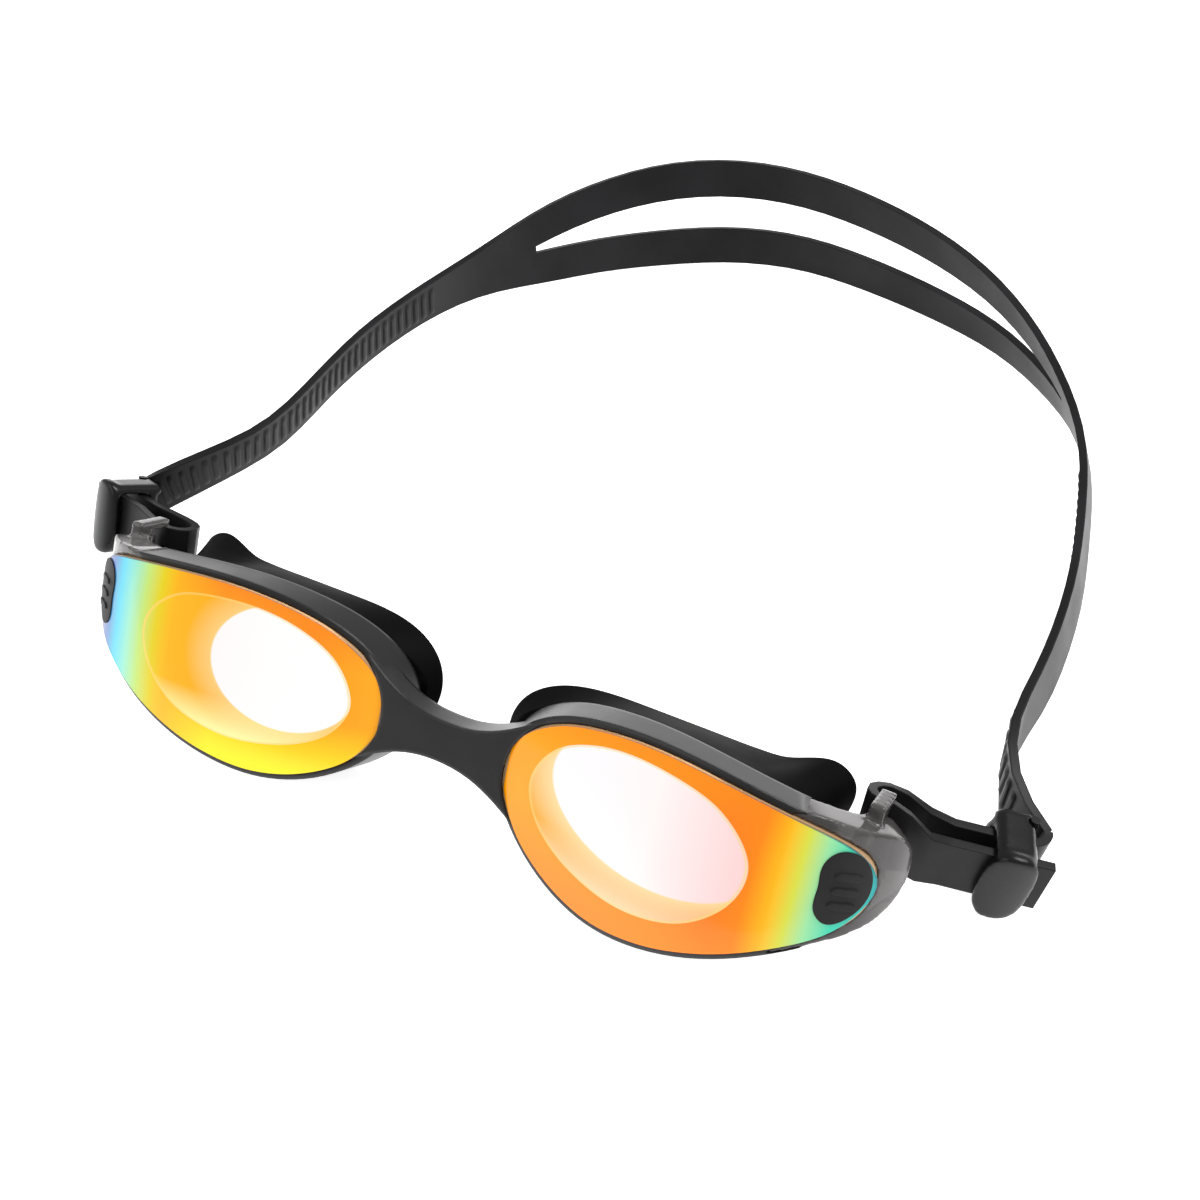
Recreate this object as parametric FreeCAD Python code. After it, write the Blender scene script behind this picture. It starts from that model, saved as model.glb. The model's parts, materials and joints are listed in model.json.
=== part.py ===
import FreeCAD, Part
import math
import os

# Swim goggles with mirrored wrap lenses, smoke temple arms and a split silicone head strap.
# Millimetres. +X is the wearer's left, -Y is the front, +Z is up, Z = 0 is the table.
# The eyepieces are drawn upright in a "goggle frame" and then leaned back onto the table.

V = FreeCAD.Vector

# ---- driving dimensions -------------------------------------------------------------
LEAN = 34.5            # how far the eyepieces lean back from upright, degrees
LIFT = 21.8            # height of the goggle frame's origin above the table

# lens front in plan: a curve whose heading turns from nose to temple
NOSE_X = 13.2          # where the lens starts beside the nose
NOSE_Y = 2.2
NOSE_HEADING = -17.0   # degrees
WRAP = 78.0            # extra heading gained over WRAP_LENGTH
WRAP_LENGTH = 72.5
WRAP_POWER = 2.8
DOME = 0.0028          # the front also curves back above and below the middle, per mm

LENS_THICKNESS = 2.0
LENS_PROUD = 0.7       # the lens face stands this far in front of the frame
CUP_WALL = 1.2         # wall of the clear cup moulded behind the lens
CUP_DEPTH = 8.0
FRAME_DEPTH = 7.0
FRAME_LIP = 1.3        # rim of the frame round the lens edge
GAP = 0.06             # assembly gap between glued or clipped pieces

# outlines on the developed lens front: (distance along the wrap, height)
LENS_OUTLINE = [(-0.7, -3.5), (1.6, 4.2), (9.0, 9.7), (19.0, 12.8), (30.0, 14.1), (41.0, 13.7),
                (52.0, 12.1), (62.0, 9.4), (67.6, 5.2), (68.0, 0.6), (63.0, -5.2), (54.0, -10.4),
                (43.5, -15.5), (33.0, -19.0), (22.5, -20.1), (12.5, -17.7), (4.0, -12.2)]
SIGHT_OUTLINE = [(5.5, -1.5), (9.8, 5.9), (19.0, 10.4), (30.0, 11.6), (41.0, 9.5), (47.6, 2.8),
                 (46.3, -5.2), (39.0, -11.9), (28.0, -14.6), (16.5, -12.9), (8.4, -8.3)]
BADGE_OUTLINE = [(58.9, 6.9), (61.4, 8.6), (64.4, 7.9), (67.0, 4.6), (67.2, 1.2), (64.6, -2.6),
                 (61.0, -3.9), (59.0, -2.2), (58.6, 2.2)]
ARM_OUTLINE = [(54.2, 1.0), (54.2, 13.0), (60.5, 12.4), (67.0, 11.4), (72.5, 9.9), (75.6, 6.6),
               (76.0, 2.6), (73.6, -1.4), (68.0, -5.2), (61.0, -8.4), (54.2, -11.6)]
BADGE_DEPTH = 1.2

# temple arm: tail plate with a slot, and the bar that the strap loops round
TAIL_X = 74.3
TAIL_THICKNESS = 2.6
TAIL_START_Y = 5.0
POST_Y = 17.0
POST_RADIUS = 1.7
POST_BOTTOM = -0.6
POST_TOP = 14.4
RAIL = 1.7             # height of the tail plate above and below its slot

# bridge between the eyepieces
BRIDGE_FRONT = 1.6
BRIDGE_BACK = 6.6

# eye seal: a skirt that flares from the cup to the flat rim that meets the face
SEAL_WALL = 1.5
SEAL_CENTRE = 26.5     # place of the skirt's front along the wrap
SEAL_FRONT = (3.0, -6.0, 1.9)   # depth behind the lens, plan turn, reach outside the sight
SEAL_STAGES = [0.0, 0.4, 0.75, 1.0]
RIM_X = 39.0           # the rim lies in one plane: its middle, and its slopes across and upwards
RIM_Y = 15.2
RIM_SLOPE_X = 0.09
RIM_SLOPE_Z = 0.12
RIM_OUTLINE = [(67.6, 4.0), (68.2, 9.5), (66.6, 13.2), (63.0, 12.9), (56.0, 11.4), (44.0, 11.4),
               (33.0, 11.8), (22.0, 11.9), (13.0, 9.8), (8.5, 6.0), (7.2, 0.6), (9.8, -5.6),
               (16.0, -12.0), (27.0, -16.4), (39.0, -17.4), (50.0, -15.6), (59.0, -10.8),
               (65.2, -3.6)]

# strap: one moulded band, split in two at the back of the head
BAND_HEIGHT = 10.4
BAND_THICKNESS = 1.6
BAND_LEVEL = 14.0      # height of the band's middle above the table
BACK_REACH = 12.2      # half of the height over both branches at the back
STATIONS = 72          # sections along the band
SLIT_REACH = 3.8       # half of the gap between the branches
# plan of the band's top and bottom edges, from the left buckle round the head to the right one
TOP_ROUTE = [(87.4, 49.0), (87.8, 57.0), (88.0, 71.0), (86.8, 85.5), (84.2, 100.0), (78.0, 121.3),
             (70.0, 134.6), (59.0, 147.4), (44.8, 159.1), (29.8, 167.7), (11.0, 175.0), (-7.0, 178.3),
             (-25.2, 176.0), (-38.0, 169.1), (-50.3, 157.5), (-59.4, 145.4), (-67.8, 127.2),
             (-74.5, 107.6), (-77.7, 90.0), (-78.1, 69.7), (-80.0, 53.0), (-84.6, 44.0)]
LOW_ROUTE = [(88.6, 49.0), (89.8, 57.0), (90.4, 71.0), (89.4, 85.5), (86.9, 100.0), (82.2, 120.0),
             (75.6, 136.0), (66.5, 147.8), (52.5, 159.7), (33.9, 167.5), (15.2, 171.9), (-3.2, 173.4),
             (-20.2, 169.7), (-35.4, 161.4), (-48.7, 150.1), (-57.2, 139.6), (-68.2, 125.8),
             (-75.6, 109.9), (-79.4, 95.0), (-81.1, 75.5), (-82.0, 58.0), (-85.6, 47.6)]

# strap's loop round the temple bar, and the buckle that closes it
LOOP_LEVEL = 7.2       # height of the loop's middle in the goggle frame
RUN_HEADING = 18.8     # plan heading from the temple bar to the buckle, degrees
LOOP_CLEARANCE = 0.9   # between the bar and the strap looped round it
LOOP_ROLL = 25.0       # the left loop and buckle hang rolled outwards about the run, degrees
LOOP_DROP = 2.6        # and a little lower
LAYER_OFFSET = 2.1     # of each layer's middle from the run's middle, inside the buckle
STRAIGHT_FROM = 11.0   # the layers lie parallel from here
TURN_AT = 23.7         # the band turns back towards the head here
TURN_RADIUS = 2.7
TURN_ANGLE = 96.0
TAIL_END = 27.2        # the strap's loose end past the buckle
BUCKLE_START = 16.3
BUCKLE_END = 25.0
BUCKLE_REACH = 7.8     # half height of the domed cover
CHEEK_GAP = 0.35
CHEEK = 1.7
COVER = 2.0
LAYER_GAP = 0.35
PIN_RADIUS = 0.8
PIN_FIT = 0.04

SIDES = {"left": 1.0, "right": -1.0}


# ---- small helpers ---------------------------------------------------------------------
def smooth_closed(points, count=64):
    """Points along a closed smooth curve through the given plane points."""
    curve = Part.BSplineCurve()
    curve.interpolate([V(a, b, 0) for a, b in points], PeriodicFlag=True)
    return [(p.x, p.y) for p in curve.discretize(count + 1)[:-1]]


def grown(points, distance):
    """The closed outline moved outward by distance."""
    area = sum(points[i - 1][0] * points[i][1] - points[i][0] * points[i - 1][1]
               for i in range(len(points)))
    sign = 1.0 if area > 0 else -1.0
    out = []
    for i, (a, b) in enumerate(points):
        before = points[i - 1]
        after = points[(i + 1) % len(points)]
        run_a = after[0] - before[0]
        run_b = after[1] - before[1]
        size = math.hypot(run_a, run_b)
        out.append((a + sign * distance * run_b / size, b - sign * distance * run_a / size))
    return out


def closed_wire(points):
    curve = Part.BSplineCurve()
    curve.interpolate(points, PeriodicFlag=True)
    return Part.Wire([curve.toShape()])


def open_edge(points):
    curve = Part.BSplineCurve()
    curve.interpolate(points)
    return curve.toShape()


def wrap_state(along):
    """Plan position and heading of the lens front, a distance along from the nose."""
    if along <= 0:
        heading = math.radians(NOSE_HEADING)
        return (NOSE_X + along * math.cos(heading), NOSE_Y + along * math.sin(heading), heading)
    steps = max(4, int(along / 0.5))
    step = along / steps
    x, y = NOSE_X, NOSE_Y
    for i in range(steps):
        middle = (i + 0.5) * step / WRAP_LENGTH
        heading = math.radians(NOSE_HEADING + WRAP * middle ** WRAP_POWER)
        x += step * math.cos(heading)
        y += step * math.sin(heading)
    return x, y, math.radians(NOSE_HEADING + WRAP * (along / WRAP_LENGTH) ** WRAP_POWER)


def front_point(along, height, outward=0.0):
    """A point near the lens front: outward is measured along the front's normal."""
    x, y, heading = wrap_state(along)
    return V(x + outward * math.sin(heading),
             y - outward * math.cos(heading) + DOME * height * height, height)


def layer(outer, inner, start=-6.0, end=78.0):
    """A thick curved sheet between two offsets from the lens front."""
    count = 22
    wires = []
    for height in (-26.0, -17.0, -8.5, 0.0, 8.5, 17.0, 26.0):
        steps = [start + (end - start) * i / count for i in range(count + 1)]
        front = [front_point(s, height, outer) for s in steps]
        back = [front_point(s, height, inner) for s in steps]
        wires.append(Part.Wire([open_edge(front), Part.makeLine(front[-1], back[-1]),
                                open_edge(back[::-1]), Part.makeLine(back[0], front[0])]))
    return Part.makeLoft(wires, True)


def punch(outline, turned=12.0, margin=15.0):
    """A straight-sided block whose section is an outline on the lens front."""
    turn = math.radians(turned)
    ahead = V(math.sin(turn), -math.cos(turn), 0)
    points = [front_point(along, height) for along, height in outline]
    depths = [point.dot(ahead) for point in points]
    low = min(depths) - margin
    face = Part.Face(closed_wire([point - ahead * (depth - low) for point, depth in zip(points, depths)]))
    return face.extrude(ahead * (max(depths) + margin - low))


def mirrored(shape):
    return shape.mirror(V(0, 0, 0), V(1, 0, 0))


def seated(shape):
    """Lean a shape of the goggle frame back and lift it onto the table."""
    out = shape.copy()
    out.rotate(V(0, 0, 0), V(1, 0, 0), -LEAN)
    out.translate(V(0, 0, LIFT))
    return out


def seated_point(point):
    lean = math.radians(LEAN)
    return V(point.x, point.y * math.cos(lean) + point.z * math.sin(lean),
             point.z * math.cos(lean) - point.y * math.sin(lean) + LIFT)


def export(name, shape):
    if shape.ShapeType == "Compound" and len(shape.Solids) == 1:
        shape = shape.Solids[0]
    shape.exportStep("parts/" + name + ".step")
    print(name, "solids", len(shape.Solids), "valid", shape.isValid(), "volume", round(shape.Volume, 1))


# ---- eyepiece: lens, frame, seal, arm, badge ----------------------------------------------
LENS_EDGE = smooth_closed(LENS_OUTLINE)
SIGHT_EDGE = smooth_closed(SIGHT_OUTLINE)
BADGE_EDGE = smooth_closed(BADGE_OUTLINE, 40)
ARM_EDGE = smooth_closed(ARM_OUTLINE, 80)
RIM_EDGE = smooth_closed(RIM_OUTLINE)
CUP_INNER = grown(SIGHT_EDGE, 0.6)
CUP_OUTER = grown(SIGHT_EDGE, 0.6 + CUP_WALL)


def make_lens():
    plate = punch(LENS_EDGE).common(layer(0.0, -LENS_THICKNESS))
    wall = punch(CUP_OUTER, -6.0).cut(punch(CUP_INNER, -6.0))
    cup = wall.common(layer(-LENS_THICKNESS + 0.2, -CUP_DEPTH))
    pocket = punch(grown(BADGE_EDGE, GAP), 40.0).common(layer(1.0, -BADGE_DEPTH))
    return plate.fuse(cup).removeSplitter().cut(pocket)


def make_badge():
    pad = punch(BADGE_EDGE, 40.0).common(layer(0.35, -BADGE_DEPTH + GAP))
    for height in (-0.6, 1.9, 4.4):
        bar = [(60.6, height), (61.2, height + 0.5), (63.0, height + 0.55), (64.8, height + 0.5),
               (65.4, height), (64.8, height - 0.5), (63.0, height - 0.55), (61.2, height - 0.5)]
        rib = punch(smooth_closed(bar, 24), 40.0).common(layer(0.6, -0.2))
        pad = pad.fuse(rib)
    return pad.removeSplitter()


def make_arm():
    body = punch(ARM_EDGE, 30.0).common(layer(-LENS_PROUD, -FRAME_DEPTH))
    seat = punch(grown(LENS_EDGE, GAP)).common(layer(2.0, -LENS_THICKNESS - GAP))
    length = POST_Y - TAIL_START_Y
    height = POST_TOP - POST_BOTTOM
    tail = Part.makeBox(TAIL_THICKNESS, length, height,
                        V(TAIL_X - TAIL_THICKNESS / 2, TAIL_START_Y, POST_BOTTOM))
    post = Part.makeCylinder(POST_RADIUS, height, V(TAIL_X, POST_Y, POST_BOTTOM), V(0, 0, 1))
    slot_front = TAIL_START_Y + 4.2
    slot_back = POST_Y - POST_RADIUS * 0.8
    slot = Part.makeBox(3 * TAIL_THICKNESS, slot_back - slot_front, height - 2 * RAIL,
                        V(TAIL_X - 1.5 * TAIL_THICKNESS, slot_front, POST_BOTTOM + RAIL))
    inner = layer(-LENS_THICKNESS - GAP, -60.0, 50.0, 78.0)
    tail = tail.fuse(post).cut(slot).common(inner)
    return body.cut(seat).fuse(tail).removeSplitter()


def bridge_outline():
    """Front view of the bridge: two arches meeting the eyepieces."""
    top = [V(-19.0, 0, 9.6), V(-11.5, 0, 4.4), V(-5.0, 0, 2.0), V(0, 0, 1.6), V(5.0, 0, 2.0),
           V(11.5, 0, 4.4), V(19.0, 0, 9.6)]
    low = [V(19.0, 0, -13.6), V(12.5, 0, -9.4), V(6.0, 0, -6.7), V(0, 0, -6.0), V(-6.0, 0, -6.7),
           V(-12.5, 0, -9.4), V(-19.0, 0, -13.6)]
    return Part.Wire([open_edge(top), Part.makeLine(top[-1], low[0]), open_edge(low),
                      Part.makeLine(low[-1], top[0])])


def make_frame(arm):
    """The soft one-piece frame: a ring round each lens and the bridge between them."""
    ring = punch(grown(LENS_EDGE, FRAME_LIP)).common(layer(-LENS_PROUD, -FRAME_DEPTH))
    seat = punch(grown(LENS_EDGE, GAP)).common(layer(2.0, -LENS_THICKNESS - GAP))
    hole = punch(grown(CUP_OUTER, GAP), -6.0)
    face = Part.Face(bridge_outline())
    bridge = face.extrude(V(0, BRIDGE_BACK - BRIDGE_FRONT, 0))
    bridge.translate(V(0, BRIDGE_FRONT, 0))
    rings = []
    for flip in (False, True):
        one = ring.copy()
        cutter = [seat, hole, arm]
        if flip:
            one = mirrored(one)
            cutter = [mirrored(tool) for tool in cutter]
        rings.append((one, cutter))
    body = bridge.fuse([rings[0][0], rings[1][0]]).removeSplitter()
    for one, cutter in rings:
        for tool in cutter:
            body = body.cut(tool)
    return body


def at_angle(outline, centre, angle):
    """The point of an outline that lies at a polar angle about a centre."""
    best = None
    for p, q in zip(outline, outline[1:] + outline[:1]):
        px, pz, qx, qz = p[0] - centre[0], p[1] - centre[1], q[0] - centre[0], q[1] - centre[1]
        first = (math.atan2(pz, px) - angle + math.pi) % (2 * math.pi) - math.pi
        last = (math.atan2(qz, qx) - angle + math.pi) % (2 * math.pi) - math.pi
        if abs(first) < 1.0 and abs(last) < 1.0 and first * last <= 0.0:
            share = first / (first - last) if first != last else 0.0
            best = (p[0] + (q[0] - p[0]) * share, p[1] + (q[1] - p[1]) * share)
    return best


def seal_ring(stage, inset):
    """One closed section of the skirt: 0 at the lens, 1 at the face."""
    depth, turned, widening = SEAL_FRONT
    turn = math.radians(turned)
    across = V(math.cos(turn), math.sin(turn), 0)
    front = grown(SIGHT_EDGE, widening + SEAL_WALL - inset)
    rim = grown(RIM_EDGE, -inset)
    centre = front_point(SEAL_CENTRE, 0.0, -depth)
    points = []
    for step in range(48):
        angle = 2 * math.pi * step / 48
        along, height = at_angle(front, (SEAL_CENTRE, -1.4), angle)
        start = centre + across * (along - SEAL_CENTRE) + V(0, 0, height)
        x, z = at_angle(rim, (RIM_X, -1.4), angle)
        y = RIM_Y + RIM_SLOPE_X * (x - RIM_X) + RIM_SLOPE_Z * z
        flare = stage ** 1.6
        points.append(V(start.x + (x - start.x) * flare, start.y + (y - start.y) * stage,
                        start.z + (z - start.z) * flare))
    return closed_wire(points)


def make_seal():
    outside = Part.makeLoft([seal_ring(stage, 0.0) for stage in SEAL_STAGES], True)
    inside = Part.makeLoft([seal_ring(stage, SEAL_WALL) for stage in SEAL_STAGES], True)
    behind_frame = layer(8.0, -FRAME_DEPTH - GAP)
    lens_cup = punch(grown(CUP_OUTER, GAP), -6.0).common(layer(0.0, -CUP_DEPTH - GAP))
    skirt = outside.cut(inside).cut(behind_frame).cut(lens_cup)
    return max(skirt.Solids, key=lambda solid: solid.Volume)


# ---- strap --------------------------------------------------------------------------------
RUN = V(math.cos(math.radians(RUN_HEADING)), math.sin(math.radians(RUN_HEADING)), 0)
REAR = V(-RUN.y, RUN.x, 0)
UPRIGHT = V(0, 0, 1)


def run_point(along, rearward, height=0.0):
    """A point of the goggle frame, measured from the temple bar along the strap's run."""
    return V(TAIL_X, POST_Y, LOOP_LEVEL + height) + RUN * along + REAR * rearward


def section(middle, thick_way, tall_way, thickness, above, below):
    """A rectangular section of the band."""
    half = thick_way * (thickness / 2)
    corners = [middle + tall_way * above + half, middle + tall_way * above - half,
               middle - tall_way * below - half, middle - tall_way * below + half]
    return Part.makePolygon(corners + [corners[0]])


def loop_route():
    """Middle line of the strap from its loose end, round the bar and back to the buckle."""
    bend = POST_RADIUS + LOOP_CLEARANCE + BAND_THICKNESS / 2
    route = [(TAIL_END, -LAYER_OFFSET), (25.0, -LAYER_OFFSET), (18.0, -LAYER_OFFSET),
             (STRAIGHT_FROM, -LAYER_OFFSET), (7.0, -LAYER_OFFSET - 0.7), (3.0, -bend + 0.05)]
    for step in range(7):
        angle = math.radians(-90.0 - 30.0 * step)
        route.append((bend * math.cos(angle), bend * math.sin(angle)))
    route += [(3.0, bend - 0.05), (7.0, LAYER_OFFSET + 0.7), (STRAIGHT_FROM, LAYER_OFFSET),
              (18.0, LAYER_OFFSET)]
    for step in range(6):
        angle = math.radians(-90.0 + TURN_ANGLE * step / 5)
        route.append((TURN_AT + TURN_RADIUS * math.cos(angle),
                      LAYER_OFFSET + TURN_RADIUS + TURN_RADIUS * math.sin(angle)))
    return route


def normals(points):
    out = []
    for i, point in enumerate(points):
        before = points[max(i - 1, 0)]
        after = points[min(i + 1, len(points) - 1)]
        way = after - before
        out.append(way.normalize())
    return out


def hang(along, point, sign):
    """Roll and lower a point of the left loop, by a share that grows away from the bar."""
    share = min(max(along / 9.0, 0.0), 1.0)
    share = share * share * (3 - 2 * share) if sign > 0 else 0.0
    roll = math.radians(LOOP_ROLL) * share
    foot = run_point(0, 0)
    arm = point - foot
    across = REAR * arm.dot(REAR) + UPRIGHT * arm.dot(UPRIGHT)
    turned = across * math.cos(roll) + RUN.cross(across) * math.sin(roll)
    return foot + RUN * arm.dot(RUN) + turned - UPRIGHT * (LOOP_DROP * share)


def hung(shape, sign):
    """The same for a whole buckle or roller."""
    out = shape.copy()
    if sign > 0:
        out.rotate(run_point(0, 0), RUN, LOOP_ROLL)
        out.translate(UPRIGHT * -LOOP_DROP)
    return out


def loop_sections(sign):
    """Sections of one end of the strap in the seated frame, and its last point and top edge."""
    route = loop_route()
    points = [run_point(along, rearward) for along, rearward in route]
    ways = normals(points)
    ways[0] = RUN * -1.0
    half = BAND_HEIGHT / 2
    out = []
    for (along, _), point, way in zip(route, points, ways):
        face = way.cross(UPRIGHT) * (BAND_THICKNESS / 2)
        corners = [hang(along, point + UPRIGHT * tall + face * side, sign)
                   for tall, side in ((half, 1), (half, -1), (-half, -1), (-half, 1))]
        wire = Part.makePolygon(corners + [corners[0]])
        out.append(seated(wire if sign > 0 else mirrored(wire)))
    ends = []
    for tall in (half, -half):
        end = seated_point(hang(TURN_AT, points[-1] + UPRIGHT * tall, sign))
        ends.append(end if sign > 0 else V(-end.x, end.y, end.z))
    return out, ends


def back_share(y):
    """0 along the sides of the head, 1 where the branches are fully apart."""
    share = min(max((y - 112.0) / (172.0 - 112.0), 0.0), 1.0)
    return share * share * (3 - 2 * share)


def band_stations():
    """Stations of the band from the left buckle round the head: middle, axes, half height."""
    left = loop_sections(1)[1]
    right = loop_sections(-1)[1]
    edges = []
    for route, first, last, up in ((TOP_ROUTE, left[0], right[0], 1),
                                   (LOW_ROUTE, left[1], right[1], -1)):
        knots = [first]
        for x, y in route:
            share = back_share(y)
            reach = BAND_HEIGHT / 2 + (BACK_REACH - BAND_HEIGHT / 2) * share
            knots.append(V(x, y, BAND_LEVEL + up * reach))
        line = Part.BSplineCurve()
        line.interpolate(knots + [last])
        edges.append(line.discretize(STATIONS + 1))
    middles = [(a + b) * 0.5 for a, b in zip(*edges)]
    stations = []
    for top, low, middle, way in zip(edges[0], edges[1], middles, normals(middles)):
        tall = top - low
        reach = tall.Length / 2
        tall.normalize()
        thick = way.cross(tall)
        thick.normalize()
        stations.append((middle, thick, tall, reach))
    return stations


def band_loft(stations, thickness, extra):
    return Part.makeLoft([section(middle, thick, tall, thickness, reach + extra, reach + extra)
                          for middle, thick, tall, reach in stations], True, True)


def make_strap(stations):
    slit = []
    for middle, thick, tall, _ in stations:
        opening = SLIT_REACH * (back_share(middle.y) - 0.33) / 0.67
        if opening > 0.0:
            slit.append((middle, thick, tall, opening + 0.2))
    strap = band_loft(stations, BAND_THICKNESS, 0.0).cut(band_loft(slit, 6.0, 0.0))
    for sign in (1, -1):
        strap = strap.fuse(Part.makeLoft(loop_sections(sign)[0], True, True))
    return strap


# ---- buckle and its pin -------------------------------------------------------------------
def run_box(start, end, front, rear, low, high):
    """A box in the strap's run: along, rearward and height limits."""
    corners = [run_point(a, b, low) for a, b in ((start, front), (end, front), (end, rear), (start, rear))]
    face = Part.Face(Part.makePolygon(corners + [corners[0]]))
    return face.extrude(UPRIGHT * (high - low))


def make_buckle():
    half = BAND_HEIGHT / 2 + CHEEK_GAP
    front = -LAYER_OFFSET - BAND_THICKNESS / 2 - LAYER_GAP
    rear = LAYER_OFFSET + BAND_THICKNESS / 2 + LAYER_GAP
    dome_radius = 12.0
    centre = (BUCKLE_START + BUCKLE_END) / 2
    cover = run_box(BUCKLE_START, BUCKLE_END, front - COVER, front, -BUCKLE_REACH, BUCKLE_REACH)
    crown_axis = run_point(centre, front - COVER + dome_radius, -20.0)
    crown = Part.makeCylinder(dome_radius, 40.0, crown_axis, UPRIGHT)
    pin_rear = LAYER_OFFSET + TURN_RADIUS + PIN_RADIUS + 0.6
    body = cover
    for sign in (1, -1):
        low = half if sign > 0 else -half - CHEEK
        body = body.fuse(run_box(BUCKLE_START, BUCKLE_END, front - 0.5, pin_rear, low, low + CHEEK))
    rail = run_box(BUCKLE_START, BUCKLE_START + 2.0, rear, rear + 1.8, -half - 0.5, half + 0.5)
    body = body.fuse(rail).removeSplitter()
    oval = []
    for step in range(32):
        angle = 2 * math.pi * step / 32
        power = 0.72
        oval.append(run_point(centre + (BUCKLE_END - BUCKLE_START) / 2
                              * math.copysign(abs(math.cos(angle)) ** power, math.cos(angle)), -30.0,
                              BUCKLE_REACH * math.copysign(abs(math.sin(angle)) ** power, math.sin(angle))))
    body = body.common(Part.Face(closed_wire(oval)).extrude(REAR * 60.0))
    pin = Part.makeCylinder(PIN_RADIUS + PIN_FIT, 40.0,
                            run_point(TURN_AT - 0.2, LAYER_OFFSET + TURN_RADIUS, -20.0), UPRIGHT)
    return body.common(crown).cut(pin)


def make_pin():
    half = BAND_HEIGHT / 2 + CHEEK_GAP + CHEEK + 0.15
    foot = run_point(TURN_AT - 0.2, LAYER_OFFSET + TURN_RADIUS, -half)
    return Part.makeCylinder(PIN_RADIUS, 2 * half, foot, UPRIGHT)


def main():
    os.makedirs("parts", exist_ok=True)
    arm = make_arm()
    eyepiece = {"lens": make_lens(), "side_badge": make_badge(), "temple_arm": arm,
                "eye_seal": make_seal()}
    closure = {"strap_buckle": make_buckle(), "buckle_pin": make_pin()}
    stations = band_stations()
    relief = {"left": band_loft(stations[:8], BAND_THICKNESS + 0.7, 0.35),
              "right": band_loft(stations[-8:], BAND_THICKNESS + 0.7, 0.35)}
    nodes = {}
    for side, sign in SIDES.items():
        for name, shape in eyepiece.items():
            nodes[name + "_" + side] = seated(shape if sign > 0 else mirrored(shape))
        for name, shape in closure.items():
            shape = hung(shape, sign)
            shape = seated(shape if sign > 0 else mirrored(shape))
            nodes[name + "_" + side] = shape.cut(relief[side]) if name == "strap_buckle" else shape
    nodes["bridge_frame"] = seated(make_frame(arm))
    nodes["head_strap"] = make_strap(stations)
    box = FreeCAD.BoundBox()
    for shape in nodes.values():
        box.add(shape.optimalBoundingBox())
    origin = V(box.Center.x, box.Center.y, box.ZMin)
    print("origin", round(origin.x, 4), round(origin.y, 4), round(origin.z, 4))
    for name, shape in nodes.items():
        shape.translate(origin * -1.0)
        export(name, shape)


main()
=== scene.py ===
import json
import math

import bmesh
import bpy
import numpy as np
from mathutils import Matrix, Vector
from mathutils.bvhtree import BVHTree

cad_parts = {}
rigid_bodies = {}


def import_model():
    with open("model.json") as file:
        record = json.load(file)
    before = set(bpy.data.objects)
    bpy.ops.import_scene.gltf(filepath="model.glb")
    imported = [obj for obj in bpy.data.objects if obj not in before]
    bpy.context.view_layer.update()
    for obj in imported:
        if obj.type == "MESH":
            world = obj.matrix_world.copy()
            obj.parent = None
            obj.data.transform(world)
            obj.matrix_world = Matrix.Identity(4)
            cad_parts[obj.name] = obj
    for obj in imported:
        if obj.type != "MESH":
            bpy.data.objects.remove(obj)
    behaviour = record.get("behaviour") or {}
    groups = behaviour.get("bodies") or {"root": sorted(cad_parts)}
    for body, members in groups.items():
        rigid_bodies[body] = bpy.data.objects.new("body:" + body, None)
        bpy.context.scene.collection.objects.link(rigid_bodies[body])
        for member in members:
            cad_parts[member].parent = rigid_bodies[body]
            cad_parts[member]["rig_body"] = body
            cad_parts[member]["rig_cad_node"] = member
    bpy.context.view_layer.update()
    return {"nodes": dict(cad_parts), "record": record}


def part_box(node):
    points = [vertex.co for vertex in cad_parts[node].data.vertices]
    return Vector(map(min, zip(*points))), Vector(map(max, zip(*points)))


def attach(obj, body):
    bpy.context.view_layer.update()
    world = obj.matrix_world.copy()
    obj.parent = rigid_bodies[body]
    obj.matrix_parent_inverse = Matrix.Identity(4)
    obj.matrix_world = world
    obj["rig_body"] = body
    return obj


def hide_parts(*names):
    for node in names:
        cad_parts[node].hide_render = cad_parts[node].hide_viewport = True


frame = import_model()

# ---- frames and driving dimensions, in millimetres -------------------------------------------
MM = 0.001
LEAN = math.radians(34.5)
LIFT = 21.8
# The goggle frame stands upright, the seated frame leans back on the table. PLACE takes the
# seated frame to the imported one, read from where the left lens lies.
LENS_LOW = Vector((12.033, -15.027, 5.533))
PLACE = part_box("lens_left")[0] / MM - LENS_LOW


def seated(x, y, z):
    """A point of the goggle frame (mm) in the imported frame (m)."""
    return (Vector((x, y * math.cos(LEAN) + z * math.sin(LEAN),
                    z * math.cos(LEAN) - y * math.sin(LEAN) + LIFT)) + PLACE) * MM


def placed(x, y, z):
    """A point of the seated frame (mm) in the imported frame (m)."""
    return (Vector((x, y, z)) + PLACE) * MM


# ---- the lens's wrapped surface -----------------------------------------------------------
NOSE_X, NOSE_Y, NOSE_HEADING = 13.2, 2.2, -17.0
WRAP, WRAP_LENGTH, WRAP_POWER, DOME = 78.0, 72.5, 2.8, 0.0028
HEIGHT_LOW, HEIGHT_SPAN = -18.0, 36.0   # the coating's UV height runs over this part of the lens
SIGHT_MIDDLE = (26.7, -1.4)
SKIN_PROUD = 0.06                       # the coating's skin stands this far off the lens
LENS_OUTLINE = [(-0.7, -3.5), (1.6, 4.2), (9.0, 9.7), (19.0, 12.8), (30.0, 14.1), (41.0, 13.7),
                (52.0, 12.1), (62.0, 9.4), (67.6, 5.2), (68.0, 0.6), (63.0, -5.2), (54.0, -10.4),
                (43.5, -15.5), (33.0, -19.0), (22.5, -20.1), (12.5, -17.7), (4.0, -12.2)]
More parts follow.
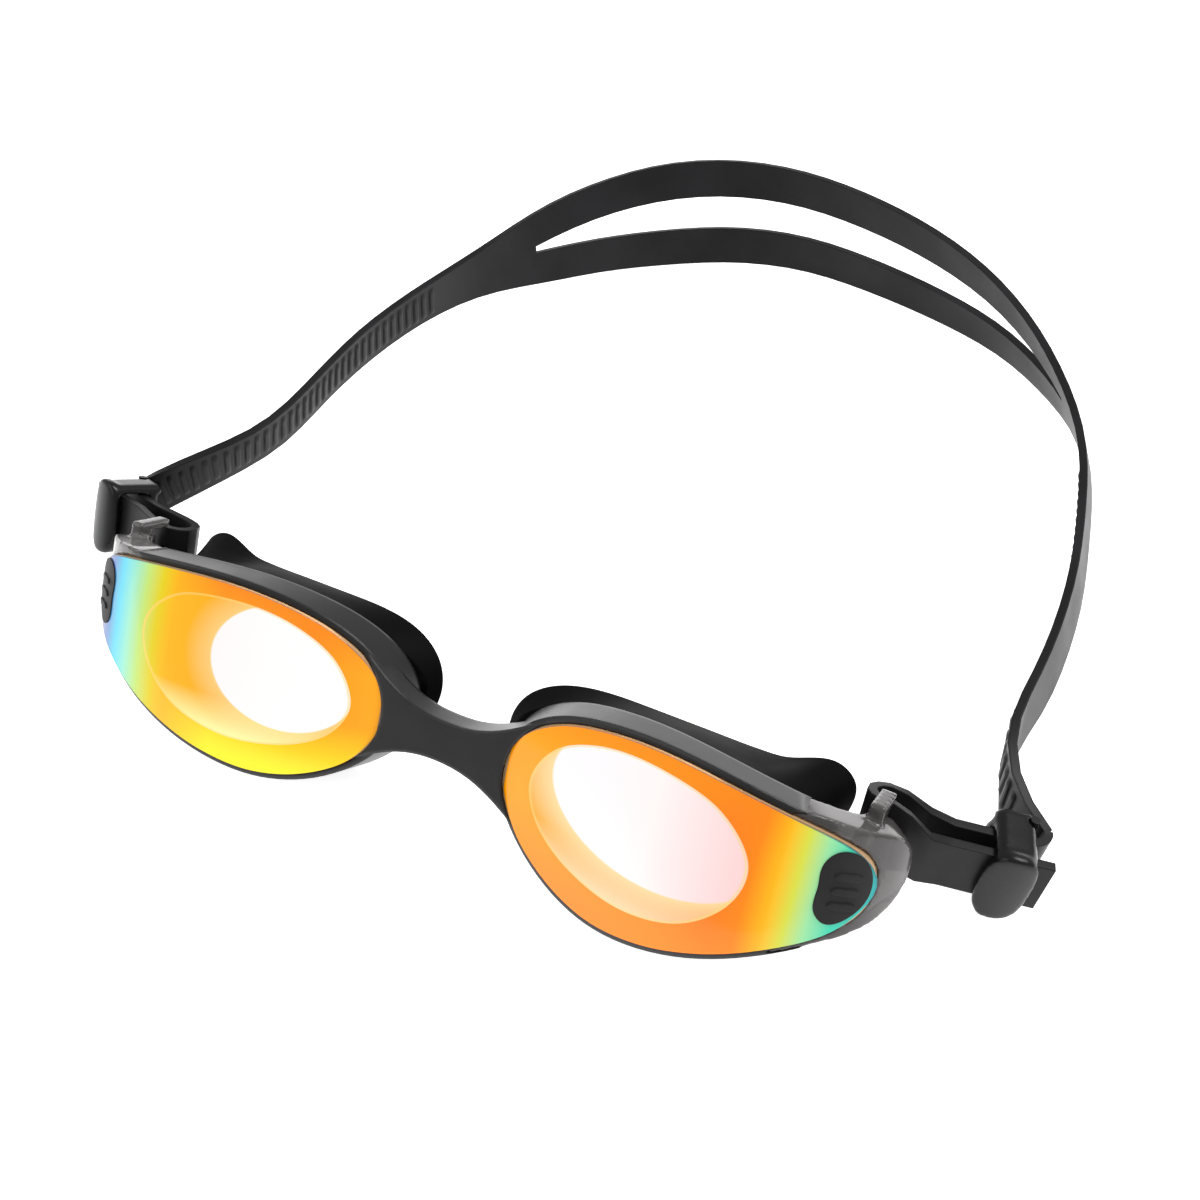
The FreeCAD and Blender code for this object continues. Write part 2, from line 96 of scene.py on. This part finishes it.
SIGHT_OUTLINE = [(5.5, -1.5), (9.8, 5.9), (19.0, 10.4), (30.0, 11.6), (41.0, 9.5), (47.6, 2.8),
                 (46.3, -5.2), (39.0, -11.9), (28.0, -14.6), (16.5, -12.9), (8.4, -8.3)]


def wrap_table():
    x, y, rows = NOSE_X, NOSE_Y, []
    step = 0.25
    for i in range(int(80 / step) + 1):
        s = i * step
        a = math.radians(NOSE_HEADING + WRAP * (s / WRAP_LENGTH) ** WRAP_POWER)
        rows.append((s, x, y, a))
        x += step * math.cos(a)
        y += step * math.sin(a)
    return np.array(rows)


WRAPPED = wrap_table()


def front_point(side, along, height, outward):
    x = np.interp(along, WRAPPED[:, 0], WRAPPED[:, 1])
    y = np.interp(along, WRAPPED[:, 0], WRAPPED[:, 2])
    a = np.interp(along, WRAPPED[:, 0], WRAPPED[:, 3])
    return seated(side * (x + math.sin(a) * outward),
                  y - math.cos(a) * outward + DOME * height * height, height)


def closed_curve(points, count):
    """A smooth closed curve through the points, evenly spaced."""
    p = np.array(points, float)
    n = len(p)
    dense = []
    for i in range(n):
        a, b, c, d = p[i - 1], p[i], p[(i + 1) % n], p[(i + 2) % n]
        for t in np.linspace(0, 1, 24, endpoint=False):
            dense.append(0.5 * (2 * b + (c - a) * t + (2 * a - 5 * b + 4 * c - d) * t * t
                                + (3 * b - a - 3 * c + d) * t ** 3))
    dense = np.array(dense + [dense[0]])
    run = np.concatenate([[0], np.cumsum(np.linalg.norm(np.diff(dense, axis=0), axis=1))])
    at = np.linspace(0, run[-1], count, endpoint=False)
    return np.stack([np.interp(at, run, dense[:, k]) for k in range(2)], 1)


def new_object(name, verts, faces, body, smooth=35.0):
    mesh = bpy.data.meshes.new(name)
    mesh.from_pydata([tuple(v) for v in verts], [], faces)
    mesh.validate()
    obj = bpy.data.objects.new(name, mesh)
    bpy.context.scene.collection.objects.link(obj)
    tool = bmesh.new()
    tool.from_mesh(mesh)
    bmesh.ops.recalc_face_normals(tool, faces=tool.faces)
    tool.to_mesh(mesh)
    tool.free()
    mesh.shade_smooth()
    mesh.set_sharp_from_angle(angle=math.radians(smooth))
    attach(obj, body)
    return obj


# ---- materials ----------------------------------------------------------------------------
def linear(colour):
    return tuple(c / 12.92 if c <= 0.04045 else ((c + 0.055) / 1.055) ** 2.4 for c in colour) + (1.0,)


class Nodes:
    """Short helpers for one material's node tree."""

    def __init__(self, name):
        self.material = bpy.data.materials.new(name)
        self.material.use_nodes = True
        self.tree = self.material.node_tree
        self.shader = self.tree.nodes["Principled BSDF"]
        self.output = self.tree.nodes["Material Output"]

    def add(self, kind, **values):
        node = self.tree.nodes.new(kind)
        for key, value in values.items():
            setattr(node, key, value)
        return node

    def join(self, source, target):
        self.tree.links.new(source, target)

    def math(self, operation, a, b=None, c=None, clamp=False):
        node = self.add("ShaderNodeMath", operation=operation, use_clamp=clamp)
        for socket, value in zip(node.inputs, (a, b, c)):
            if value is None:
                continue
            if isinstance(value, (int, float)):
                socket.default_value = value
            else:
                self.join(value, socket)
        return node.outputs[0]

    def ramp(self, value, stops, mode="EASE"):
        """Colours by value: stops are (place, sRGB colour)."""
        node = self.add("ShaderNodeValToRGB")
        node.color_ramp.interpolation = mode
        ramp = node.color_ramp.elements
        while len(ramp) < len(stops):
            ramp.new(0.5)
        for element, (place, colour) in zip(ramp, stops):
            element.position = place
            element.color = linear(colour)
        self.join(value, node.inputs[0])
        return node.outputs[0]

    def mix(self, factor, a, b, kind="MIX"):
        node = self.add("ShaderNodeMix", data_type="RGBA", blend_type=kind)
        for socket, value in ((node.inputs[0], factor), (node.inputs[6], a), (node.inputs[7], b)):
            if isinstance(value, (int, float)):
                socket.default_value = value
            elif isinstance(value, tuple):
                socket.default_value = linear(value)
            else:
                self.join(value, socket)
        return node.outputs[2]

    def noise(self, scale, detail=4.0, rough=0.5):
        node = self.add("ShaderNodeTexNoise")
        place = self.add("ShaderNodeTexCoord")
        self.join(place.outputs["Object"], node.inputs["Vector"])
        node.inputs["Scale"].default_value = scale
        node.inputs["Detail"].default_value = detail
        node.inputs["Roughness"].default_value = rough
        return node.outputs[0]

    def bump(self, height, strength, distance):
        node = self.add("ShaderNodeBump")
        node.inputs["Strength"].default_value = strength
        node.inputs["Distance"].default_value = distance
        self.join(height, node.inputs["Height"])
        return node

    def set(self, **values):
        names = {"rough": "Roughness", "coat": "Coat Weight", "coat_rough": "Coat Roughness",
                 "clear": "Transmission Weight", "ior": "IOR", "metal": "Metallic",
                 "alpha": "Alpha", "sheen": "Sheen Weight", "spec": "Specular IOR Level"}
        for key, value in values.items():
            self.shader.inputs[names[key]].default_value = value
        return self


def rubber(name, dark, light, rough, grain=900.0, coat=0.0, radius=0.0003, spec=0.2):
    """Moulded silicone: faint mottling, fine grain and softened edges."""
    n = Nodes(name)
    tone = n.ramp(n.noise(60.0, 5.0), [(0.3, dark), (0.7, light)])
    n.join(tone, n.shader.inputs["Base Color"])
    gloss = n.math("MULTIPLY_ADD", n.noise(140.0, 3.0), 0.16, rough - 0.08)
    n.join(gloss, n.shader.inputs["Roughness"])
    bump = n.bump(n.noise(grain, 6.0), 0.06, 0.0001)
    edge = n.add("ShaderNodeBevel", samples=6)
    edge.inputs["Radius"].default_value = radius
    n.join(edge.outputs[0], bump.inputs["Normal"])
    n.join(bump.outputs[0], n.shader.inputs["Normal"])
    n.set(coat=coat, coat_rough=0.2, spec=spec)
    return n.material


def smoke(name):
    """Clear smoke-tinted plastic with flow marks."""
    n = Nodes(name)
    tone = n.ramp(n.noise(45.0, 3.0), [(0.3, (0.33, 0.315, 0.315)), (0.7, (0.43, 0.415, 0.415))])
    n.join(tone, n.shader.inputs["Base Color"])
    n.join(n.math("MULTIPLY_ADD", n.noise(200.0), 0.1, 0.1), n.shader.inputs["Roughness"])
    edge = n.add("ShaderNodeBevel", samples=6)
    edge.inputs["Radius"].default_value = 0.0006
    n.join(edge.outputs[0], n.shader.inputs["Normal"])
    n.set(clear=0.5, ior=1.35, coat=0.35, coat_rough=0.1, spec=0.3)
    return n.material


def cup_plastic(name):
    """The lens's clear moulded body, warmed by the coating."""
    n = Nodes(name)
    tone = n.ramp(n.noise(40.0, 2.0), [(0.3, (1.0, 0.80, 0.58)), (0.7, (1.0, 0.86, 0.66))])
    n.join(tone, n.shader.inputs["Base Color"])
    n.join(n.math("MULTIPLY_ADD", n.noise(150.0), 0.08, 0.1), n.shader.inputs["Roughness"])
    n.set(clear=0.5, ior=1.35, coat=0.5, coat_rough=0.05)
    return n.material


def coating(name, stops, low_tint, high_tint, keep, pale_stops, pale, crescent, low_crescent):
    """Mirror coating: its colour drifts from the nose to the temple and from top to bottom.
    The UV map holds the place along the wrap and the height, the second one the ring.
    pale is the middle and reach of the see-through oval inside the sight."""
    n = Nodes(name)
    wrap = n.add("ShaderNodeUVMap", uv_map="wrap")
    parts = n.add("ShaderNodeSeparateXYZ")
    n.join(wrap.outputs[0], parts.inputs[0])
    along, height = parts.outputs[0], parts.outputs[1]
    ring_map = n.add("ShaderNodeUVMap", uv_map="ring")
    ring_parts = n.add("ShaderNodeSeparateXYZ")
    n.join(ring_map.outputs[0], ring_parts.inputs[0])
    ring = ring_parts.outputs[0]
    drift = n.math("MULTIPLY_ADD", n.noise(26.0, 2.0), 0.03, -0.015)
    spread = n.ramp(n.math("ADD", along, drift), stops, "LINEAR")
    low = n.math("MULTIPLY_ADD", height, -2.8, 0.95, clamp=True)
    high = n.math("MULTIPLY_ADD", height, 3.2, -2.0, clamp=True)
    base = n.mix(high, n.mix(low, spread, low_tint), high_tint)
    fade = n.math("MULTIPLY_ADD", along, keep[0], keep[1], clamp=True)
    base = n.mix(fade, base, spread)
    # inside the sight: the pale oval, and a tinted crescent beside and under it
    dx = n.math("MULTIPLY", n.math("SUBTRACT", along, pale[0]), 1.0 / pale[2])
    dz = n.math("MULTIPLY", n.math("SUBTRACT", height, pale[1]), 1.0 / pale[3])
    far = n.math("SQRT", n.math("ADD", n.math("MULTIPLY", dx, dx), n.math("MULTIPLY", dz, dz)))
    middle = n.ramp(along, pale_stops, "LINEAR")
    edge = n.ramp(far, [(0.0, (0, 0, 0)), (0.98, (0, 0, 0)), (1.0, (0.62, 0.62, 0.62))], "LINEAR")
    outer = n.math("MULTIPLY_ADD", far, 2.6, -2.6, clamp=True)
    side = n.mix(outer, crescent, spread)
    side = n.mix(n.math("MULTIPLY_ADD", height, -5.0, 1.5, clamp=True), side, low_crescent)
    inner = n.mix(n.math("MULTIPLY_ADD", far, 40.0, -39.3, clamp=True), middle, side)
    inner = n.mix(n.math("MULTIPLY", edge, 0.1), inner, crescent)
    # painted highlight: a thin pale line just inside the sight's edge stands in for light catching the
    # lens's bevel
    painted_bevel_highlight = n.ramp(ring, [(0.0, (0, 0, 0)), (0.485, (0, 0, 0)), (0.49, (1, 1, 1)), (0.497, (1, 1, 1)),
                         (0.502, (0, 0, 0)), (1.0, (0, 0, 0))], "LINEAR")
    colour = n.mix(n.math("LESS_THAN", ring, 0.5), base, inner)
    colour = n.mix(n.math("MULTIPLY", painted_bevel_highlight, 0.6), colour, (1.0, 0.80, 0.44))
    rim = n.math("MULTIPLY_ADD", ring, 60.0, -59.0, clamp=True)
    rim = n.math("MULTIPLY", rim, n.math("MULTIPLY_ADD", height, 4.0, -1.9, clamp=True))
    colour = n.mix(rim, colour, (0.14, 0.28, 0.42))
    n.join(colour, n.shader.inputs["Base Color"])
    # painted light: the coating also glows faintly in its own colour through a weak emission, though it
    # is no lamp
    n.join(colour, n.shader.inputs["Emission Color"])
    n.shader.inputs["Emission Strength"].default_value = 0.06
    n.join(n.math("MULTIPLY_ADD", n.noise(90.0), 0.06, 0.2), n.shader.inputs["Roughness"])
    n.set(coat=0.35, coat_rough=0.03, spec=0.15)
    return n.material


STRAP = rubber("strap_silicone", (0.075, 0.073, 0.079), (0.115, 0.112, 0.12), 0.42, radius=0.0004,
               spec=0.16)
SEAL = rubber("seal_silicone", (0.02, 0.02, 0.021), (0.04, 0.039, 0.041), 0.6, radius=0.0005, spec=0.04)
FRAME = rubber("frame_silicone", (0.045, 0.044, 0.046), (0.075, 0.073, 0.076), 0.30, radius=0.0008,
               spec=0.45)
BADGE = rubber("badge_silicone", (0.13, 0.127, 0.13), (0.17, 0.167, 0.17), 0.5, radius=0.0003, spec=0.12)
BUCKLE = rubber("buckle_plastic", (0.03, 0.03, 0.033), (0.055, 0.053, 0.057), 0.26, grain=500.0,
                coat=0.12, radius=0.0007, spec=0.2)
ROLLER = rubber("roller_plastic", (0.05, 0.05, 0.052), (0.08, 0.08, 0.084), 0.35, radius=0.0002)
SMOKE = smoke("smoke_plastic")
CUP = cup_plastic("cup_plastic")
RIGHT_COAT = coating(
    "mirror_coating_right",
    [(0.0, (1.0, 0.66, 0.10)), (0.2, (1.0, 0.54, 0.06)), (0.45, (1.0, 0.65, 0.05)),
     (0.57, (0.95, 0.69, 0.02)), (0.62, (0.87, 0.79, 0.06)), (0.67, (0.74, 0.87, 0.45)),
     (0.72, (0.59, 0.88, 0.78)), (0.77, (0.30, 0.80, 0.90)), (0.82, (0.28, 0.46, 0.72)),
     (0.88, (0.30, 0.28, 0.48)), (1.0, (0.46, 0.46, 0.58))],
    (1.0, 0.92, 0.10), (1.0, 0.50, 0.08), (6.0, -2.6),
    [(0.05, (0.99, 0.96, 0.95)), (0.25, (1.0, 0.945, 0.94)), (0.44, (1.0, 0.925, 0.92))],
    (0.255, 0.535, 0.195, 0.325), (1.0, 0.77, 0.46), (1.0, 0.95, 0.66))
LEFT_COAT = coating(
    "mirror_coating_left",
    [(0.0, (1.0, 0.63, 0.0)), (0.2, (1.0, 0.62, 0.01)), (0.45, (1.0, 0.55, 0.06)),
     (0.60, (1.0, 0.46, 0.06)), (0.67, (0.99, 0.51, 0.02)), (0.72, (0.98, 0.69, 0.03)),
     (0.765, (0.82, 0.84, 0.27)), (0.81, (0.58, 0.86, 0.62)), (0.86, (0.20, 0.80, 0.66)),
     (0.93, (0.08, 0.68, 0.66)), (1.0, (0.10, 0.56, 0.58))],
    (1.0, 0.55, 0.10), (0.98, 0.54, 0.04), (8.0, -4.8),
    [(0.14, (0.95, 0.94, 0.96)), (0.42, (0.995, 0.925, 0.92)), (0.64, (0.97, 0.81, 0.81))],
    (0.42, 0.583, 0.285, 0.325), (1.0, 0.82, 0.59), (1.0, 0.83, 0.66))


# ---- lens coating -------------------------------------------------------------------------
def make_coating(side, name, material):
    """The coated front skin of one lens, ring by ring from the middle of the sight."""
    count = 180
    outer = closed_curve(LENS_OUTLINE, 720)
    sight = closed_curve(SIGHT_OUTLINE, 720)
    centre = np.array(SIGHT_MIDDLE)

    def by_angle(curve):
        d = curve - centre
        a = np.arctan2(d[:, 1], d[:, 0])
        order = np.argsort(a)
        a, d = a[order], d[order]
        want = np.linspace(-math.pi, math.pi, count, endpoint=False)
        r = np.interp(want, a, np.hypot(d[:, 0], d[:, 1]), period=2 * math.pi)
        return centre + np.stack([np.cos(want), np.sin(want)], 1) * r[:, None]

    inner_edge, outer_edge = by_angle(sight), by_angle(outer)
    shares = (0.02, 0.2, 0.4, 0.6, 0.75, 0.87, 0.95, 0.985, 1.0)
    rings = [centre + (inner_edge - centre) * share for share in shares]
    marks = [share / 2 for share in shares]
    for t in np.linspace(0, 1, 17)[1:]:
        rings.append(inner_edge + (outer_edge - inner_edge) * t * 0.997)
        marks.append(0.5 + 0.5 * t)
    verts, maps = [], []
    for ring, mark in zip(rings, marks):
        for s, h in ring:
            verts.append(front_point(side, s, h, SKIN_PROUD))
            maps.append((s / WRAP_LENGTH, (h - HEIGHT_LOW) / HEIGHT_SPAN, mark))
    faces = [tuple(range(count))]
    for i in range(len(rings) - 1):
        for j in range(count):
            k = (j + 1) % count
            faces.append((i * count + j, i * count + k, (i + 1) * count + k, (i + 1) * count + j))
    obj = new_object(name, verts, faces, "eyepieces", 60.0)
    wrap = obj.data.uv_layers.new(name="wrap")
    ring = obj.data.uv_layers.new(name="ring")
    for loop in obj.data.loops:
        s, h, m = maps[loop.vertex_index]
        wrap.data[loop.index].uv = (s, h)
        ring.data[loop.index].uv = (m, 0.0)
    obj.data.materials.append(material)
    return obj


make_coating(1, "lens_coating_left", LEFT_COAT)
make_coating(-1, "lens_coating_right", RIGHT_COAT)


# ---- CAD nodes that keep their shape, with softened shading --------------------------------
def soften(node, material, angle=32.0):
    source = frame["nodes"][node]
    obj = source.copy()
    obj.data = source.data.copy()
    obj.name = node + "_soft"
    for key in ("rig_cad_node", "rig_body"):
        if key in obj:
            del obj[key]
    obj.parent = None
    bpy.context.scene.collection.objects.link(obj)
    tool = bmesh.new()
    tool.from_mesh(obj.data)
    bmesh.ops.remove_doubles(tool, verts=tool.verts, dist=2e-6)
    tool.to_mesh(obj.data)
    tool.free()
    if obj.data.has_custom_normals:
        with bpy.context.temp_override(object=obj, active_object=obj):
            bpy.ops.mesh.customdata_custom_splitnormals_clear()
    obj.data.shade_smooth()
    obj.data.set_sharp_from_angle(angle=math.radians(angle))
    obj.data.materials.clear()
    obj.data.materials.append(material)
    body = next(name for name, nodes in frame["record"]["behaviour"]["bodies"].items() if node in nodes)
    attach(obj, body)
    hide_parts(node)
    return obj


def mould(node, material, cell, rounds):
    """A moulded copy of a CAD node: every edge is rounded by a fine remesh and a few smoothing rounds."""
    obj = soften(node, material, 180.0)
    remesh = obj.modifiers.new("remesh", "REMESH")
    remesh.mode = "VOXEL"
    remesh.voxel_size = cell
    smoothing = obj.modifiers.new("smooth", "SMOOTH")
    smoothing.factor = 0.5
    smoothing.iterations = rounds
    graph = bpy.context.evaluated_depsgraph_get()
    mesh = bpy.data.meshes.new_from_object(obj.evaluated_get(graph))
    obj.modifiers.clear()
    obj.data = mesh
    mesh.shade_smooth()
    mesh.materials.clear()
    mesh.materials.append(material)
    return obj


for side in ("left", "right"):
    soften("lens_" + side, CUP)
    mould("temple_arm_" + side, SMOKE, 0.0004, 4)
    soften("eye_seal_" + side, SEAL)
    soften("side_badge_" + side, BADGE)
    mould("strap_buckle_" + side, BUCKLE, 0.0003, 28)
    soften("buckle_pin_" + side, ROLLER)
soften("bridge_frame", FRAME)
soften("head_strap", STRAP, 30.0)


# ---- ribs across the strap's head side ------------------------------------------------------
RIB_PITCH, RIB_WIDTH, RIB_PROUD, RIB_MARGIN = 2.5, 1.5, 0.45, 1.1
RIB_START, RIB_STOP = 34.0, 113.0


def strap_surface():
    """A search tree over the strap's CAD node, in scene coordinates."""
    source = frame["nodes"]["head_strap"]
    tool = bmesh.new()
    tool.from_mesh(source.data)
    tool.transform(source.matrix_world)
    tree = BVHTree.FromBMesh(tool)
    tool.free()
    return tree


def head_side(tree, side, y):
    """Lowest and highest point of the band's head-side face at a distance behind the eyes."""
    found = []
    for step in range(100):
        hit = tree.ray_cast(placed(side * 50.0, y, 0.4 * step), Vector((side, 0, 0)), 0.07)[0]
        if hit is not None:
            found.append(hit)
    return found[0], found[-1]


def make_ribs(side, name, tree):
    verts, faces = [], []
    y = RIB_START
    while y < RIB_STOP:
        low, high = head_side(tree, side, y)
        before, after = head_side(tree, side, y - 1.5), head_side(tree, side, y + 1.5)
        along = (after[0] + after[1] - before[0] - before[1]).normalized()
        tall = (high - low).normalized()
        outward = along.cross(tall) * side
        middle = (low + high) / 2
        reach = (high - low).length / 2 - RIB_MARGIN * MM
        first = len(verts)
        for shift, proud in ((-0.5, -0.2), (-0.36, 0.8), (0.0, 1.0), (0.36, 0.8), (0.5, -0.2)):
            for step in range(9):
                place = middle + along * shift * RIB_WIDTH * MM + tall * reach * (step / 4 - 1)
                hit = tree.ray_cast(place - outward * 0.005, outward, 0.012)[0] or place
                end = proud if 0 < step < 8 else -0.2
                verts.append(hit - outward * RIB_PROUD * end * MM)
        for a in range(4):
            for b in range(8):
                k = first + a * 9 + b
                faces.append((k, k + 1, k + 10, k + 9))
        y += RIB_PITCH * abs(along.y)
    obj = new_object(name, verts, faces, "strap", 50.0)
    obj.data.materials.append(STRAP)


SURFACE = strap_surface()
make_ribs(1, "strap_ribs_left", SURFACE)
make_ribs(-1, "strap_ribs_right", SURFACE)


# ---- floor, light, camera -----------------------------------------------------------------
def make_floor():
    bpy.ops.mesh.primitive_plane_add(size=6.0, location=(0, 0, 0))
    floor = bpy.context.object
    floor.name = "floor"
    n = Nodes("paper_floor")
    tone = n.ramp(n.noise(3.0), [(0.3, (0.985, 0.985, 0.985)), (0.7, (1.0, 1.0, 1.0))])
    n.join(tone, n.shader.inputs["Base Color"])
    n.join(tone, n.shader.inputs["Emission Color"])
    n.shader.inputs["Emission Strength"].default_value = 0.75
    n.set(rough=0.9, spec=0.1)
    floor.data.materials.append(n.material)


def make_light(name, place, aim, size, power):
    data = bpy.data.lights.new(name, "AREA")
    data.shape = "DISK"
    data.size = size
    data.energy = power
    lamp = bpy.data.objects.new(name, data)
    bpy.context.scene.collection.objects.link(lamp)
    lamp.location = place
    lamp.rotation_euler = (Vector(aim) - Vector(place)).to_track_quat("-Z", "Y").to_euler()


CAMERA_PLACE = (100.85, -106.12, 215.61)
CAMERA_AZIMUTH, CAMERA_ELEVATION, CAMERA_ROLL = 31.733, 48.731, -5.420
CAMERA_SENSOR, CAMERA_LENS = 36.0, 36.0 * 1393.3 / 1200.0


def make_camera():
    azimuth, elevation = math.radians(CAMERA_AZIMUTH), math.radians(CAMERA_ELEVATION)
    roll = math.radians(CAMERA_ROLL)
    back = Vector((math.sin(azimuth) * math.cos(elevation), -math.cos(azimuth) * math.cos(elevation),
                   math.sin(elevation)))
    level = Vector((math.cos(azimuth), math.sin(azimuth), 0))
    high = back.cross(level)
    right = level * math.cos(roll) + high * math.sin(roll)
    up = high * math.cos(roll) - level * math.sin(roll)
    data = bpy.data.cameras.new("camera")
    data.sensor_width = CAMERA_SENSOR
    data.lens = CAMERA_LENS
    data.clip_start = 0.01
    camera = bpy.data.objects.new("camera", data)
    bpy.context.scene.collection.objects.link(camera)
    turn = Matrix((right, up, back)).transposed().to_4x4()
    camera.matrix_world = Matrix.Translation(placed(*CAMERA_PLACE)) @ turn
    bpy.context.scene.camera = camera


make_floor()
world = bpy.data.worlds.new("studio")
bpy.context.scene.world = world
world.use_nodes = True
world.node_tree.nodes["Background"].inputs[0].default_value = (1.0, 1.0, 1.0, 1.0)
world.node_tree.nodes["Background"].inputs[1].default_value = 0.6
make_light("key", (0.35, 0.45, 0.8), (0, 0, 0.02), 0.5, 7.0)
make_light("fill", (-0.6, -0.5, 0.7), (0, -0.05, 0.02), 0.9, 3.0)
bpy.context.scene.view_settings.view_transform = "Standard"
make_camera()
